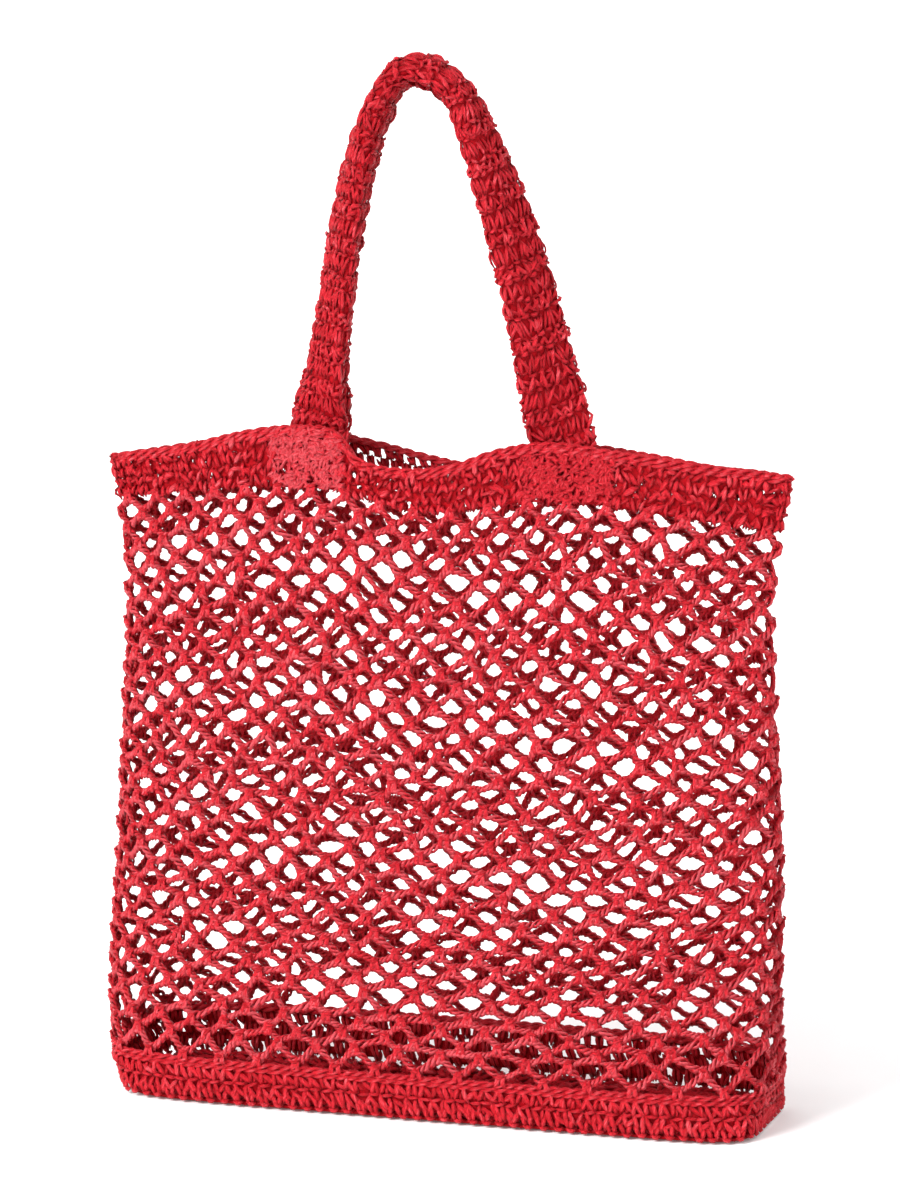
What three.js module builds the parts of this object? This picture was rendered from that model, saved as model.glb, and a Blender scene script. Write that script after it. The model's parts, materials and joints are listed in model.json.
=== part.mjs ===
// Open-weave straw tote, crocheted from twisted paper straw, standing on its base.
// Millimetres, +Z up. The origin is on the floor under the middle of the bag, and -Y is the front.

import * as THREE from "three";

// Walls of the worked pieces, and the gap left where one is worked onto the next. The rim's lower
// edge is wavy, so the gap under it is measured straight down and is wider.
const PANEL_THICK = 5;
const BAND_WALL = 5;
const NET_WALL = 4;
const RIM_WALL = 5;
const SEAM = 0.3;
const RIM_SEAM = 0.45;

// Height of the base band and of the rim's middle, and how far the panel's lower edge is rounded in
const BAND_TOP = 27;
const RIM_MIDDLE = 355;
const PANEL_ROUNDING = 3;
const PANEL_SHOULDER = 0.9;

// How finely the pieces are cut into facets
const AROUND = 80;
const OUTLINE_STEPS = 240;
const NET_LEVELS = 12;
const RIM_LEVELS = 3;
const BAND_LEVELS = 2;
const STRAP_STEPS = 54;
const STRAP_SIDES = 12;

// Outline of the body at each height. A high end power squares the two ends, a high face power
// squares the front and back, and low ones make the pointed lens of the mouth.
const SECTIONS = [
  { z: 0, halfWidth: 181.5, halfDepth: 53, endPower: 9, facePower: 7, middle: 4.5 },
  { z: 14, halfWidth: 186, halfDepth: 54, endPower: 7, facePower: 5, middle: 1.5 },
  { z: 27, halfWidth: 189.8, halfDepth: 54, endPower: 5, facePower: 4, middle: -0.2 },
  { z: 70, halfWidth: 193.1, halfDepth: 52, endPower: 2.8, facePower: 2.4, middle: -2.4 },
  { z: 140, halfWidth: 191.5, halfDepth: 48, endPower: 2.6, facePower: 2.2, middle: 0 },
  { z: 220, halfWidth: 188, halfDepth: 40, endPower: 2.4, facePower: 2, middle: 0 },
  { z: 290, halfWidth: 186, halfDepth: 30, endPower: 2.2, facePower: 1.7, middle: -0.5 },
  { z: 325, halfWidth: 190, halfDepth: 26, endPower: 2.1, facePower: 1.4, middle: -0.5 },
  { z: 355, halfWidth: 195.7, halfDepth: 23, endPower: 2, facePower: 1.2, middle: -0.3 },
  { z: 382, halfWidth: 197.4, halfDepth: 22, endPower: 2, facePower: 1.2, middle: -0.6 },
];

// Heights of the rim band's two edges along the front and the back. The handles pull the rim up
// where they are sewn in, and it sags between them.
const FRONT_RIM = [
  { x: -193, lower: 329, upper: 354 },
  { x: -149, lower: 335, upper: 362 },
  { x: -107, lower: 340, upper: 373 },
  { x: -79, lower: 341, upper: 377 },
  { x: -56, lower: 341, upper: 375 },
  { x: -43, lower: 338, upper: 361 },
  { x: -14, lower: 333, upper: 357 },
  { x: 13, lower: 333, upper: 361 },
  { x: 35, lower: 337, upper: 369 },
  { x: 63, lower: 340, upper: 374 },
  { x: 96, lower: 339, upper: 371 },
  { x: 151, lower: 332, upper: 364 },
  { x: 176, lower: 329, upper: 361.5 },
  { x: 194, lower: 327, upper: 359 },
];
const BACK_RIM = [
  { x: -193, lower: 329, upper: 354 },
  { x: -109, lower: 338, upper: 367 },
  { x: -73, lower: 340, upper: 369 },
  { x: -47, lower: 338, upper: 365 },
  { x: -13, lower: 334, upper: 357 },
  { x: 19, lower: 331, upper: 353 },
  { x: 45, lower: 334, upper: 360 },
  { x: 71, lower: 338, upper: 368 },
  { x: 106, lower: 337, upper: 366 },
  { x: 151, lower: 332, upper: 361 },
  { x: 176, lower: 329, upper: 360.5 },
  { x: 194, lower: 327, upper: 359 },
];

// The slack cloth between the handles bows outwards, most at the rim
const BOW = 4;
const BOW_MIDDLE = 1.5;
const BOW_HALF_WIDTH = 62;
const BOW_FROM = 150;
const BOW_TO = 360;

// Middle line and section of the front handle, from its left sewn end to its right one. At turn 0
// the strap's broad face looks forwards, and at 90 it looks out from the arch.
const FRONT_STRAP = [
  { x: -71.5, y: -12.1, z: 342, width: 34, thick: 8, turn: 4 },
  { x: -68.9, y: -9.9, z: 371, width: 35, thick: 8.5, turn: 4 },
  { x: -67.7, y: -9.5, z: 379, width: 34, thick: 9, turn: 8 },
  { x: -64.2, y: -14.4, z: 400, width: 32.5, thick: 10.5, turn: 36 },
  { x: -57.1, y: -16.6, z: 444, width: 34, thick: 11.5, turn: 47 },
  { x: -49.6, y: -16.8, z: 493, width: 34, thick: 13, turn: 56 },
  { x: -36.6, y: -16.2, z: 542, width: 29, thick: 15.5, turn: 74 },
  { x: -22.6, y: -15, z: 568.4, width: 28, thick: 14.5, turn: 86 },
  { x: -8.3, y: -14.6, z: 572.5, width: 28, thick: 16, turn: 90 },
  { x: 10.4, y: -15, z: 561.5, width: 28, thick: 14.5, turn: 86 },
  { x: 21.1, y: -16.2, z: 543, width: 29, thick: 15.5, turn: 74 },
  { x: 39.1, y: -16.8, z: 496, width: 34.5, thick: 13, turn: 56 },
  { x: 53.5, y: -16.6, z: 448, width: 35, thick: 11.5, turn: 47 },
  { x: 63.9, y: -14.4, z: 401, width: 38, thick: 10.5, turn: 36 },
  { x: 67.7, y: -9.5, z: 379, width: 38, thick: 9, turn: 8 },
  { x: 69.5, y: -9.9, z: 371, width: 38, thick: 8.5, turn: 4 },
  { x: 73.5, y: -12.1, z: 342, width: 36, thick: 8, turn: 4 },
];

// The back handle mirrors the front one across the mouth. It is pushed a little to the left and
// hangs lower, and above the rim it stands further off and is turned further out.
const BACK_LEFTWARD = 0.311;
const BACK_DROP = 5.5;
const BACK_STAND_OFF = 3;
const BACK_TWIST = 0.72;
const BACK_LEAVES_RIM = 375;
const BACK_LEAN_HEIGHT = 35;
const STRAP_SQUARENESS = 2.6;
const TANGENT_STEP = 1;

const STRAW = new THREE.MeshStandardMaterial({ color: 0xb5101f, roughness: 0.55, metalness: 0 });

const mix = (a, b, t) => a + (b - a) * t;
const clamp = (v, low, high) => Math.min(high, Math.max(low, v));

// Reads one column of a table at a place between its rows, on a smooth curve through them
function readTable(rows, along, at, column) {
  const last = rows.length - 1;
  const place = clamp(at, rows[0][along], rows[last][along]);
  let i = 0;
  while (i < last - 1 && rows[i + 1][along] <= place) i += 1;
  const slope = (k) => {
    const before = rows[Math.max(0, k - 1)];
    const after = rows[Math.min(last, k + 1)];
    return (after[column] - before[column]) / (after[along] - before[along]);
  };
  const span = rows[i + 1][along] - rows[i][along];
  const t = (place - rows[i][along]) / span;
  const t2 = t * t;
  const t3 = t2 * t;
  return (
    (2 * t3 - 3 * t2 + 1) * rows[i][column] +
    (t3 - 2 * t2 + t) * span * slope(i) +
    (3 * t2 - 2 * t3) * rows[i + 1][column] +
    (t3 - t2) * span * slope(i + 1)
  );
}

// The outward bow of the front and back faces between the handles
function bowAt(x, z) {
  const across = clamp(1 - ((x - BOW_MIDDLE) / BOW_HALF_WIDTH) ** 2, 0, 1);
  const up = clamp((z - BOW_FROM) / (BOW_TO - BOW_FROM), 0, 1);
  return BOW * across * across * up * up;
}

// A ring round the body at one height, in even steps along its length. It starts at the left end
// and runs along the front first. An inset moves it inwards, to the inner side of a wall.
function ringAt(z, inset) {
  const read = (column) => readTable(SECTIONS, "z", z, column);
  const halfWidth = read("halfWidth") - inset;
  const halfDepth = read("halfDepth") - inset;
  const endPower = read("endPower");
  const facePower = read("facePower");
  const middle = read("middle");
  const outline = [];
  for (let i = 0; i <= OUTLINE_STEPS; i += 1) {
    const angle = Math.PI + (2 * Math.PI * i) / OUTLINE_STEPS;
    const along = Math.sign(Math.cos(angle)) * Math.abs(Math.cos(angle)) ** (2 / endPower);
    const across = Math.sign(Math.sin(angle)) * Math.abs(Math.sin(angle)) ** (2 / facePower);
    outline.push(new THREE.Vector2(middle + halfWidth * along, halfDepth * across));
  }
  const reach = [0];
  for (let i = 1; i <= OUTLINE_STEPS; i += 1) {
    reach.push(reach[i - 1] + outline[i].distanceTo(outline[i - 1]));
  }
  const ring = [];
  let k = 0;
  for (let i = 0; i < AROUND; i += 1) {
    const target = (reach[OUTLINE_STEPS] * i) / AROUND;
    while (reach[k + 1] < target) k += 1;
    const t = (target - reach[k]) / (reach[k + 1] - reach[k]);
    const point = outline[k].clone().lerp(outline[k + 1], t);
    const side = Math.sign(point.y);
    ring.push(new THREE.Vector3(point.x, point.y + side * bowAt(point.x, z), z));
  }
  return ring;
}

// Each edge between two worked pieces, as a height for each step round the body
const rimEdge = (column) =>
  ringAt(RIM_MIDDLE, 0).map((point, i) =>
    readTable(i <= AROUND / 2 ? FRONT_RIM : BACK_RIM, "x", point.x, column),
  );
const levelEdge = (z) => new Array(AROUND).fill(z);

// Puts a closed mesh together from its points and triangles
function solid(name, points, triangles) {
  const geometry = new THREE.BufferGeometry();
  const places = points.flatMap((p) => [p.x, p.y, p.z]);
  geometry.setAttribute("position", new THREE.Float32BufferAttribute(places, 3));
  geometry.setIndex(triangles.flat());
  geometry.computeVertexNormals();
  const mesh = new THREE.Mesh(geometry, STRAW);
  mesh.name = name;
  return mesh;
}

// Two triangles between four corners, counterclockwise seen from outside
const quad = (a, b, c, d) => [
  [a, b, c],
  [a, c, d],
];

// A wall that follows the body all the way round, from a lower edge to an upper one
function sleeve(name, lower, upper, levels, wall) {
  const points = [];
  for (const inset of [0, wall]) {
    for (let level = 0; level <= levels; level += 1) {
      for (let i = 0; i < AROUND; i += 1) {
        points.push(ringAt(mix(lower[i], upper[i], level / levels), inset)[i]);
      }
    }
  }
  const outer = (level, i) => level * AROUND + (i % AROUND);
  const inner = (level, i) => (levels + 1 + level) * AROUND + (i % AROUND);
  const triangles = [];
  for (let i = 0; i < AROUND; i += 1) {
    for (let k = 0; k < levels; k += 1) {
      triangles.push(...quad(outer(k, i), outer(k, i + 1), outer(k + 1, i + 1), outer(k + 1, i)));
      triangles.push(...quad(inner(k, i + 1), inner(k, i), inner(k + 1, i), inner(k + 1, i + 1)));
    }
    triangles.push(...quad(outer(levels, i), outer(levels, i + 1), inner(levels, i + 1), inner(levels, i)));
    triangles.push(...quad(inner(0, i), inner(0, i + 1), outer(0, i + 1), outer(0, i)));
  }
  return solid(name, points, triangles);
}

// The flat bottom, with its lower edge rounded
function basePanel() {
  const steps = [
    { z: 0, inset: PANEL_ROUNDING },
    { z: PANEL_SHOULDER, inset: PANEL_SHOULDER },
    { z: PANEL_ROUNDING, inset: 0 },
    { z: PANEL_THICK, inset: 0 },
  ];
  const rings = steps.map(({ z, inset }) => ringAt(0, inset).map((point) => point.setZ(z)));
  const at = (k, i) => k * AROUND + (i % AROUND);
  const triangles = [];
  for (let k = 0; k < rings.length - 1; k += 1) {
    for (let i = 0; i < AROUND; i += 1) {
      triangles.push(...quad(at(k, i), at(k, i + 1), at(k + 1, i + 1), at(k + 1, i)));
    }
  }
  const top = rings.length - 1;
  for (let i = 0; i < AROUND / 2; i += 1) {
    const strip = [i, i + 1, AROUND - i - 1, AROUND - i].map((n) => n % AROUND);
    const corners = strip.filter((n, k) => strip.indexOf(n) === k);
    for (let k = 1; k < corners.length - 1; k += 1) {
      triangles.push([at(top, corners[0]), at(top, corners[k]), at(top, corners[k + 1])]);
      triangles.push([at(0, corners[0]), at(0, corners[k + 1]), at(0, corners[k])]);
    }
  }
  return solid("base_panel", rings.flat(), triangles);
}

// Adds to each row of a strap how far along the strap it lies
function measured(rows) {
  const place = (row) => new THREE.Vector3(row.x, row.y, row.z);
  let reach = 0;
  return rows.map((row, i) => {
    reach += i > 0 ? place(row).distanceTo(place(rows[i - 1])) : 0;
    return { ...row, reach };
  });
}

// A strap swept along its middle line, with its section turned as the table says
function strap(name, rows, forward) {
  const table = measured(rows);
  const length = table[table.length - 1].reach;
  const middleAt = (reach) =>
    new THREE.Vector3(...["x", "y", "z"].map((axis) => readTable(table, "reach", reach, axis)));
  const points = [];
  for (let k = 0; k <= STRAP_STEPS; k += 1) {
    const reach = (length * k) / STRAP_STEPS;
    const read = (column) => readTable(table, "reach", reach, column);
    const tangent = middleAt(Math.min(length, reach + TANGENT_STEP))
      .sub(middleAt(Math.max(0, reach - TANGENT_STEP)))
      .normalize();
    const outwards = new THREE.Vector3(0, -1, 0).cross(tangent).normalize();
    const turn = THREE.MathUtils.degToRad(read("turn"));
    const face = new THREE.Vector3(0, forward * Math.cos(turn), 0);
    face.addScaledVector(outwards, Math.sin(turn));
    face.addScaledVector(tangent, -face.dot(tangent)).normalize();
    const broad = tangent.clone().cross(face);
    for (let i = 0; i < STRAP_SIDES; i += 1) {
      const angle = (2 * Math.PI * (i + 0.5)) / STRAP_SIDES;
      const c = Math.cos(angle);
      const s = Math.sin(angle);
      const u = Math.sign(c) * Math.abs(c) ** (2 / STRAP_SQUARENESS);
      const v = Math.sign(s) * Math.abs(s) ** (2 / STRAP_SQUARENESS);
      const corner = middleAt(reach).addScaledVector(face, (u * read("thick")) / 2);
      points.push(corner.addScaledVector(broad, (v * read("width")) / 2));
    }
  }
  const at = (k, i) => k * STRAP_SIDES + (i % STRAP_SIDES);
  const triangles = [];
  for (let i = 0; i < STRAP_SIDES; i += 1) {
    for (let k = 0; k < STRAP_STEPS; k += 1) {
      triangles.push(...quad(at(k, i), at(k, i + 1), at(k + 1, i + 1), at(k + 1, i)));
    }
    if (i > 0 && i < STRAP_SIDES - 1) {
      triangles.push([at(0, 0), at(0, i + 1), at(0, i)]);
      triangles.push([at(STRAP_STEPS, 0), at(STRAP_STEPS, i), at(STRAP_STEPS, i + 1)]);
    }
  }
  return solid(name, points, triangles);
}

// The back handle's rows, from the front handle's
function backStrapRows() {
  const foot = FRONT_STRAP[0].z;
  const rise = Math.max(...FRONT_STRAP.map((row) => row.z)) - foot;
  return FRONT_STRAP.map((row) => {
    const up = clamp((row.z - BACK_LEAVES_RIM) / BACK_LEAN_HEIGHT, 0, 1);
    const y = -row.y + BACK_STAND_OFF * up;
    return {
      ...row,
      x: row.x - BACK_LEFTWARD * (y - row.y),
      y,
      z: row.z - (BACK_DROP * (row.z - foot)) / rise,
      turn: mix(row.turn, 90, BACK_TWIST * up * up),
    };
  });
}

const tote = new THREE.Group();
tote.add(
  basePanel(),
  sleeve("base_band", levelEdge(PANEL_THICK + SEAM), levelEdge(BAND_TOP), BAND_LEVELS, BAND_WALL),
  sleeve(
    "net_body",
    levelEdge(BAND_TOP + SEAM),
    rimEdge("lower").map((z) => z - RIM_SEAM),
    NET_LEVELS,
    NET_WALL,
  ),
  sleeve("rim_band", rimEdge("lower"), rimEdge("upper"), RIM_LEVELS, RIM_WALL),
  strap("handle_front", FRONT_STRAP, -1),
  strap("handle_back", backStrapRows(), 1),
);

export default tote;
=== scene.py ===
# Open-weave straw tote: the looks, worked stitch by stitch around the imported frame.
# Sizes are in millimetres and become metres when a piece is made. -Y is the bag's front.
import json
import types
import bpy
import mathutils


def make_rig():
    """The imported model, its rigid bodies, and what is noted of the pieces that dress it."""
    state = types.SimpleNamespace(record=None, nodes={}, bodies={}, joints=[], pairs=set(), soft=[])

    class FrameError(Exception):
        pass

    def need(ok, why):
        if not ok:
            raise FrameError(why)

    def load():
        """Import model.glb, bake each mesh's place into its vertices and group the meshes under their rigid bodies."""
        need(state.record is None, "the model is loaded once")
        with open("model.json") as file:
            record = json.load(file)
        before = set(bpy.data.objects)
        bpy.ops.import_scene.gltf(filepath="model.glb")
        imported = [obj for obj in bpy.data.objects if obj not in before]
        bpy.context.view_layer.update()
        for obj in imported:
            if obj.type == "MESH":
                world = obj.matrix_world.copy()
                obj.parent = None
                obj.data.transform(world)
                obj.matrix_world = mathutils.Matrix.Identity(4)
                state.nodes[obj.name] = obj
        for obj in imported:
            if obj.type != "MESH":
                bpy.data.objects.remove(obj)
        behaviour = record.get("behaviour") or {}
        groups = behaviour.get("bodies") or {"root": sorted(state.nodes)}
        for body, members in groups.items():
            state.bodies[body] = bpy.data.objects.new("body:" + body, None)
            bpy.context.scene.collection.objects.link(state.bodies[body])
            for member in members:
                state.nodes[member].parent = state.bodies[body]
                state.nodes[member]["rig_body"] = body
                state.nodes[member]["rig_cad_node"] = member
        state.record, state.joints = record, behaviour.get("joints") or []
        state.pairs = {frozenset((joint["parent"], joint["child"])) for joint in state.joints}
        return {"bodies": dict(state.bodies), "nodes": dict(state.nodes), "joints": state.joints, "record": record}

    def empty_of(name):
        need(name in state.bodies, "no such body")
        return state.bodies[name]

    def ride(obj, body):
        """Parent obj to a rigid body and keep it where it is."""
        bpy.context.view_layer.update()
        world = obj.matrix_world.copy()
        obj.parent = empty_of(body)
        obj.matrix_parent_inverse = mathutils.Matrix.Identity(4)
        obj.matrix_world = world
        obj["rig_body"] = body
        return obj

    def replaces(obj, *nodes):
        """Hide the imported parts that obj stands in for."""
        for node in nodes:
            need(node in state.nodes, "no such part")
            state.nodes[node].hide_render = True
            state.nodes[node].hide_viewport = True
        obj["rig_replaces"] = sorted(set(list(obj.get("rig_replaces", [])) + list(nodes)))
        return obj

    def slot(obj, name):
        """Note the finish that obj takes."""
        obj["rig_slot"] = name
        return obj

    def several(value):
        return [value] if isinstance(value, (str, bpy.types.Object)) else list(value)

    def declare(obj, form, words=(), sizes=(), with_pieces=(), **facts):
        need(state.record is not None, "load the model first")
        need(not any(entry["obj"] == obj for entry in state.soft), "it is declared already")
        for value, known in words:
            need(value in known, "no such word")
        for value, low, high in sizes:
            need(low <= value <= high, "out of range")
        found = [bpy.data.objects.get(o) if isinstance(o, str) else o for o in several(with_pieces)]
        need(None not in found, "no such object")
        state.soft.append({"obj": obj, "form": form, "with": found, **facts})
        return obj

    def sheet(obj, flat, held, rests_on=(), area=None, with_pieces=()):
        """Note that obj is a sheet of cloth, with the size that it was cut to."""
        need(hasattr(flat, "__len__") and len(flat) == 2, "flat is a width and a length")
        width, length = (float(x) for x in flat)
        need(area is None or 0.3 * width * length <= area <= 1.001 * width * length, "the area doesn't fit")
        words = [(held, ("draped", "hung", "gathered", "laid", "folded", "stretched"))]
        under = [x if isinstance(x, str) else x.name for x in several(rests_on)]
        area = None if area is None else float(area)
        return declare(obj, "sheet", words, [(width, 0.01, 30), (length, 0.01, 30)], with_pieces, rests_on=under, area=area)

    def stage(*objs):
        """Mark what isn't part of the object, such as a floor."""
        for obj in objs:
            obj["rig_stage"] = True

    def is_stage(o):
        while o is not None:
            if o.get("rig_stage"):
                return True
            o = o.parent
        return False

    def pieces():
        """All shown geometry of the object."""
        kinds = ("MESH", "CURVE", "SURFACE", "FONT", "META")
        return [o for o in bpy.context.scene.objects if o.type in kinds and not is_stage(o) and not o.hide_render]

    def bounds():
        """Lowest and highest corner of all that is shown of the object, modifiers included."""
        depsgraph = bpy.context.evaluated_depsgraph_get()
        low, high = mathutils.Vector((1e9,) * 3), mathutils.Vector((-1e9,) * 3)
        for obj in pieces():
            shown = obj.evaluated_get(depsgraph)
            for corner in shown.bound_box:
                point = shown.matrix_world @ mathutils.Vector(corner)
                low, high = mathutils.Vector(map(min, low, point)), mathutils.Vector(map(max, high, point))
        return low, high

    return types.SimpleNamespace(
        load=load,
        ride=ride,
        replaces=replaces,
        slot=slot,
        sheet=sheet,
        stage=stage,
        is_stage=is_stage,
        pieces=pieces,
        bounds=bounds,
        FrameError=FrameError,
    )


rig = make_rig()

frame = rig.load()
cad_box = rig.bounds()

import json
import math

import bpy
import numpy as np
from mathutils import Vector

MM = 0.001

# The camera: its turn to the bag's right, its rise, its distance, aim and reach in metres, and its
# focal length in pixels of the photo
CAMERA_TURN = math.radians(17.3)
CAMERA_RISE = math.radians(10.0)
CAMERA_DISTANCE = 3.005
CAMERA_AIM = Vector((0.0028, 0.0, 0.2812))
FOCAL_PIXELS = 5500
PHOTO_HEIGHT = 1200
SENSOR = 36.0
CAMERA_REACH = 50


def make_camera():
    data = bpy.data.cameras.new("camera")
    data.sensor_width = SENSOR
    data.lens = FOCAL_PIXELS / PHOTO_HEIGHT * SENSOR
    data.clip_end = CAMERA_REACH
    camera = bpy.data.objects.new("camera", data)
    back = Vector((
        math.sin(CAMERA_TURN) * math.cos(CAMERA_RISE),
        -math.cos(CAMERA_TURN) * math.cos(CAMERA_RISE),
        math.sin(CAMERA_RISE),
    ))
    camera.location = CAMERA_AIM + back * CAMERA_DISTANCE
    camera.rotation_euler = (-back).to_track_quat("-Z", "Y").to_euler()
    bpy.context.scene.collection.objects.link(camera)
    bpy.context.scene.camera = camera


make_camera()


def table(columns, *rows):
    """Rows of figures as dictionaries, by the names of their columns."""
    return [dict(zip(columns.split(), row)) for row in rows]


# Outline of the body at each height, as the frame has it
SECTIONS = table(
    "z half_width half_depth end_power face_power middle",
    (0, 181.5, 53, 9, 7, 4.5),
    (14, 186, 54, 7, 5, 1.5),
    (27, 189.8, 54, 5, 4, -0.2),
    (70, 193.1, 52, 2.8, 2.4, -2.4),
    (140, 191.5, 48, 2.6, 2.2, 0),
    (220, 188, 40, 2.4, 2, 0),
    (290, 186, 30, 2.2, 1.7, -0.5),
    (325, 190, 26, 2.1, 1.4, -0.5),
    (355, 195.7, 23, 2, 1.2, -0.3),
    (382, 197.4, 22, 2, 1.2, -0.6),
)
# Heights of the rim band's two edges, along the front and along the back
FRONT_RIM = table(
    "x lower upper",
    (-193, 329, 354),
    (-149, 335, 362),
    (-107, 340, 373),
    (-79, 341, 377),
    (-56, 341, 375),
    (-43, 338, 361),
    (-14, 333, 357),
    (13, 333, 361),
    (35, 337, 369),
    (63, 340, 374),
    (96, 339, 371),
    (151, 332, 364),
    (176, 329, 361.5),
    (194, 327, 359),
)
BACK_RIM = table(
    "x lower upper",
    (-193, 329, 354),
    (-109, 338, 367),
    (-73, 340, 369),
    (-47, 338, 365),
    (-13, 334, 357),
    (19, 331, 353),
    (45, 334, 360),
    (71, 338, 368),
    (106, 337, 366),
    (151, 332, 361),
    (176, 329, 360.5),
    (194, 327, 359),
)
# The two faces bow apart by this much round this x, within this half width. It grows from one height
# to the other.
BOW, BOW_MIDDLE, BOW_HALF_WIDTH, BOW_FROM, BOW_TO = 4, 1.5, 62, 150, 360
PANEL_THICK, BAND_TOP, RIM_MIDDLE, RIM_TOP = 5, 27, 355, 382
BAND_WALL, NET_WALL, RIM_WALL = 5, 4, 5
# How much higher the base band stands along the back
BACK_ROUND = 7

# Middle line and section of the front handle. At turn 0 its broad face looks forwards, and at 90
# it looks out from the arch.
FRONT_STRAP = table(
    "x y z width thick turn",
    (-71.5, -12.1, 342, 34, 8, 4),
    (-68.9, -9.9, 371, 35, 8.5, 4),
    (-67.7, -9.5, 379, 34, 9, 8),
    (-64.2, -14.4, 400, 32.5, 10.5, 36),
    (-57.1, -16.6, 444, 34, 11.5, 47),
    (-49.6, -16.8, 493, 34, 13, 56),
    (-36.6, -16.2, 542, 29, 15.5, 74),
    (-22.6, -15, 568.4, 28, 14.5, 86),
    (-8.3, -14.6, 572.5, 28, 16, 90),
    (10.4, -15, 561.5, 28, 14.5, 86),
    (21.1, -16.2, 543, 29, 15.5, 74),
    (39.1, -16.8, 496, 34.5, 13, 56),
    (53.5, -16.6, 448, 35, 11.5, 47),
    (63.9, -14.4, 401, 38, 10.5, 36),
    (67.7, -9.5, 379, 38, 9, 8),
    (69.5, -9.9, 371, 38, 8.5, 4),
    (73.5, -12.1, 342, 36, 8, 4),
)
# The back handle is the front one's twin. It lies this far leftward for each millimetre behind it, its
# top is lower by the drop. From where it leaves the rim it stands off and twists further.
BACK_LEFTWARD, BACK_DROP, BACK_STAND_OFF, BACK_TWIST = 0.311, 5.5, 3, 0.72
BACK_LEAVES_RIM, BACK_LEAN_HEIGHT = 375, 35
STRAP_SQUARENESS = 2.6


def unit(v):
    return v / np.maximum(np.linalg.norm(v, axis=-1, keepdims=True), 1e-9)


def read_table(rows, along, at, column):
    """One column of a table at any places between its rows, on a smooth curve through them."""
    place = np.array([row[along] for row in rows], float)
    value = np.array([row[column] for row in rows], float)
    n = np.arange(len(rows))
    before, after = np.maximum(n - 1, 0), np.minimum(n + 1, len(rows) - 1)
    slope = (value[after] - value[before]) / (place[after] - place[before])
    at = np.clip(at, place[0], place[-1])
    i = np.clip(np.searchsorted(place, at, side="right") - 1, 0, len(rows) - 2)
    span = place[i + 1] - place[i]
    t = (at - place[i]) / span
    return (
        (2 * t**3 - 3 * t**2 + 1) * value[i]
        + (t**3 - 2 * t**2 + t) * span * slope[i]
        + (3 * t**2 - 2 * t**3) * value[i + 1]
        + (t**3 - t**2) * span * slope[i + 1]
    )


class Surface:
    """A skin that closes round on itself: s is the share of the way round, h the height along it."""

    def __init__(self, grid, step):
        self.grid, self.step = grid, step
        around = np.roll(grid, -1, axis=1) - np.roll(grid, 1, axis=1)
        upwards = np.gradient(grid, axis=0)
        self.normals = unit(np.cross(around, upwards))
        self.girths = np.linalg.norm(np.roll(grid, -1, axis=1) - grid, axis=2).sum(1)

    def girth(self, h):
        return np.interp(np.asarray(h) / self.step, np.arange(len(self.girths)), self.girths)

    def sample(self, field, s, h):
        rows, columns = field.shape[:2]
        a = np.clip(np.asarray(h, float) / self.step, 0, rows - 1.001)
        b = (np.asarray(s, float) % 1) * columns
        a, b = np.broadcast_arrays(a, b)
        i, j = a.astype(int), b.astype(int) % columns
        u, v = (a - i)[..., None], (b - np.floor(b))[..., None]
        k = (j + 1) % columns
        low = field[i, j] * (1 - v) + field[i, k] * v
        high = field[i + 1, j] * (1 - v) + field[i + 1, k] * v
        return low * (1 - u) + high * u

    def at(self, s, h, out=0.0):
        """Points off the skin, and the outward, upward and sideways directions there."""
        normal = unit(self.sample(self.normals, s, h))
        point = self.sample(self.grid, s, h) + normal * np.asarray(out)[..., None]
        above = self.sample(self.grid, s, np.asarray(h) + 1)
        below = self.sample(self.grid, s, np.asarray(h) - 1)
        up = unit(above - below)
        sideways = unit(np.cross(up, normal))
        return point, normal, up, sideways


GRID_STEP = 3
GRID_COLUMNS = 900


def even_ring(outline):
    """The same closed outline with its points in even steps along its length."""
    closed = np.vstack([outline, outline[:1]])
    reach = np.concatenate([[0], np.cumsum(np.linalg.norm(np.diff(closed, axis=0), axis=1))])
    places = np.linspace(0, reach[-1], GRID_COLUMNS, endpoint=False)
    return np.stack([np.interp(places, reach, closed[:, k]) for k in range(closed.shape[1])], axis=1)


def super_ellipse(half_width, half_depth, end_power, face_power, start=math.pi):
    angle = start + np.linspace(0, 2 * math.pi, 2 * GRID_COLUMNS, endpoint=False)
    c, s = np.cos(angle), np.sin(angle)
    x = half_width * np.sign(c) * np.abs(c) ** (2 / end_power)
    y = half_depth * np.sign(s) * np.abs(s) ** (2 / face_power)
    return np.stack([x, y], axis=1)


def body_ring(z, inset=0.0):
    read = {c: read_table(SECTIONS, "z", z, c) for c in SECTIONS[0] if c != "z"}
    outline = super_ellipse(
        read["half_width"] - inset, read["half_depth"] - inset, read["end_power"], read["face_power"]
    )
    ring = even_ring(outline + [read["middle"], 0])
    across = np.clip(1 - ((ring[:, 0] - BOW_MIDDLE) / BOW_HALF_WIDTH) ** 2, 0, 1)
    up = np.clip((z - BOW_FROM) / (BOW_TO - BOW_FROM), 0, 1)
    ring[:, 1] += np.sign(ring[:, 1]) * BOW * across**2 * up**2
    return np.column_stack([ring, np.full(len(ring), z)])


def body_surface():
    heights = np.arange(0, RIM_TOP + 2 * GRID_STEP, GRID_STEP)
    return Surface(np.stack([body_ring(z) for z in heights]), GRID_STEP)


BODY = body_surface()


def rim_edge(s, column):
    """Height of one edge of the rim band, for shares of the way round."""
    s = np.asarray(s) % 1
    x = BODY.sample(BODY.grid, s, RIM_MIDDLE)[..., 0]
    front = read_table(FRONT_RIM, "x", x, column)
    back = read_table(BACK_RIM, "x", x, column)
    return np.where(s <= 0.5, front, back)


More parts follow.
